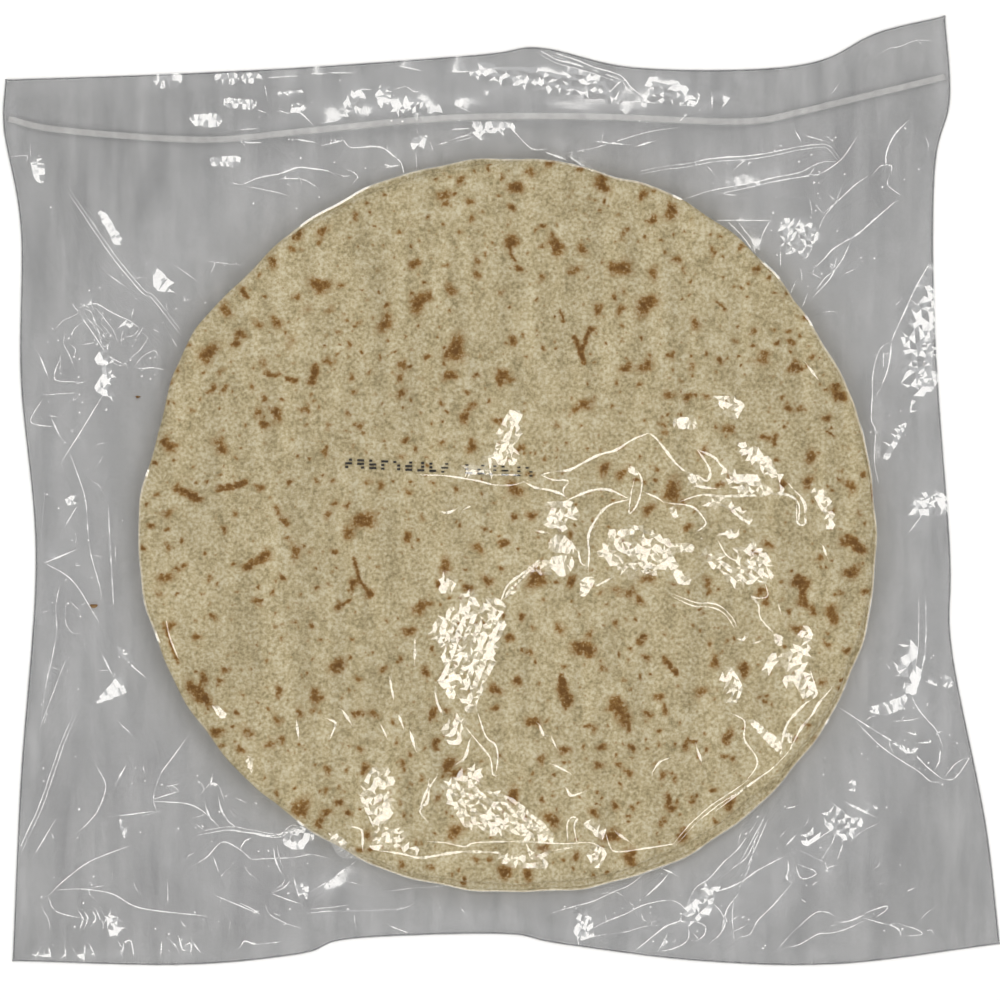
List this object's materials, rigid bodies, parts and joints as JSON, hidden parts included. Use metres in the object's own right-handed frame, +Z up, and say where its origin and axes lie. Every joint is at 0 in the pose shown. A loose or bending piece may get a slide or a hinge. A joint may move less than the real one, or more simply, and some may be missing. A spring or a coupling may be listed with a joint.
{
  "type": "bagged pizza crusts",
  "caption": "Stack of thin round toasted pizza crusts lying flat in a clear, crinkled press-to-close bag with a ridged closure strip across its mouth.",
  "frame": {"origin": "centre of the bag's box, at the underside", "axes": "+Z up through the stack, +Y towards the bag's mouth and its closure, +X to the right seen from above"},
  "size_m": [0.4158, 0.396, 0.0108],
  "materials": {
    "bag": "toasted crust seen through clear glossy film",
    "zip_strip": "milky clear polyethylene, glossy",
    "film": "clear polyethylene film, glossy and crinkled",
    "crust": "dry baked flour dough with toasted spots"
  },
  "bodies": {
    "root": {"bag": "bag", "zip_strip": "zip_strip"}
  },
  "joints": []
}
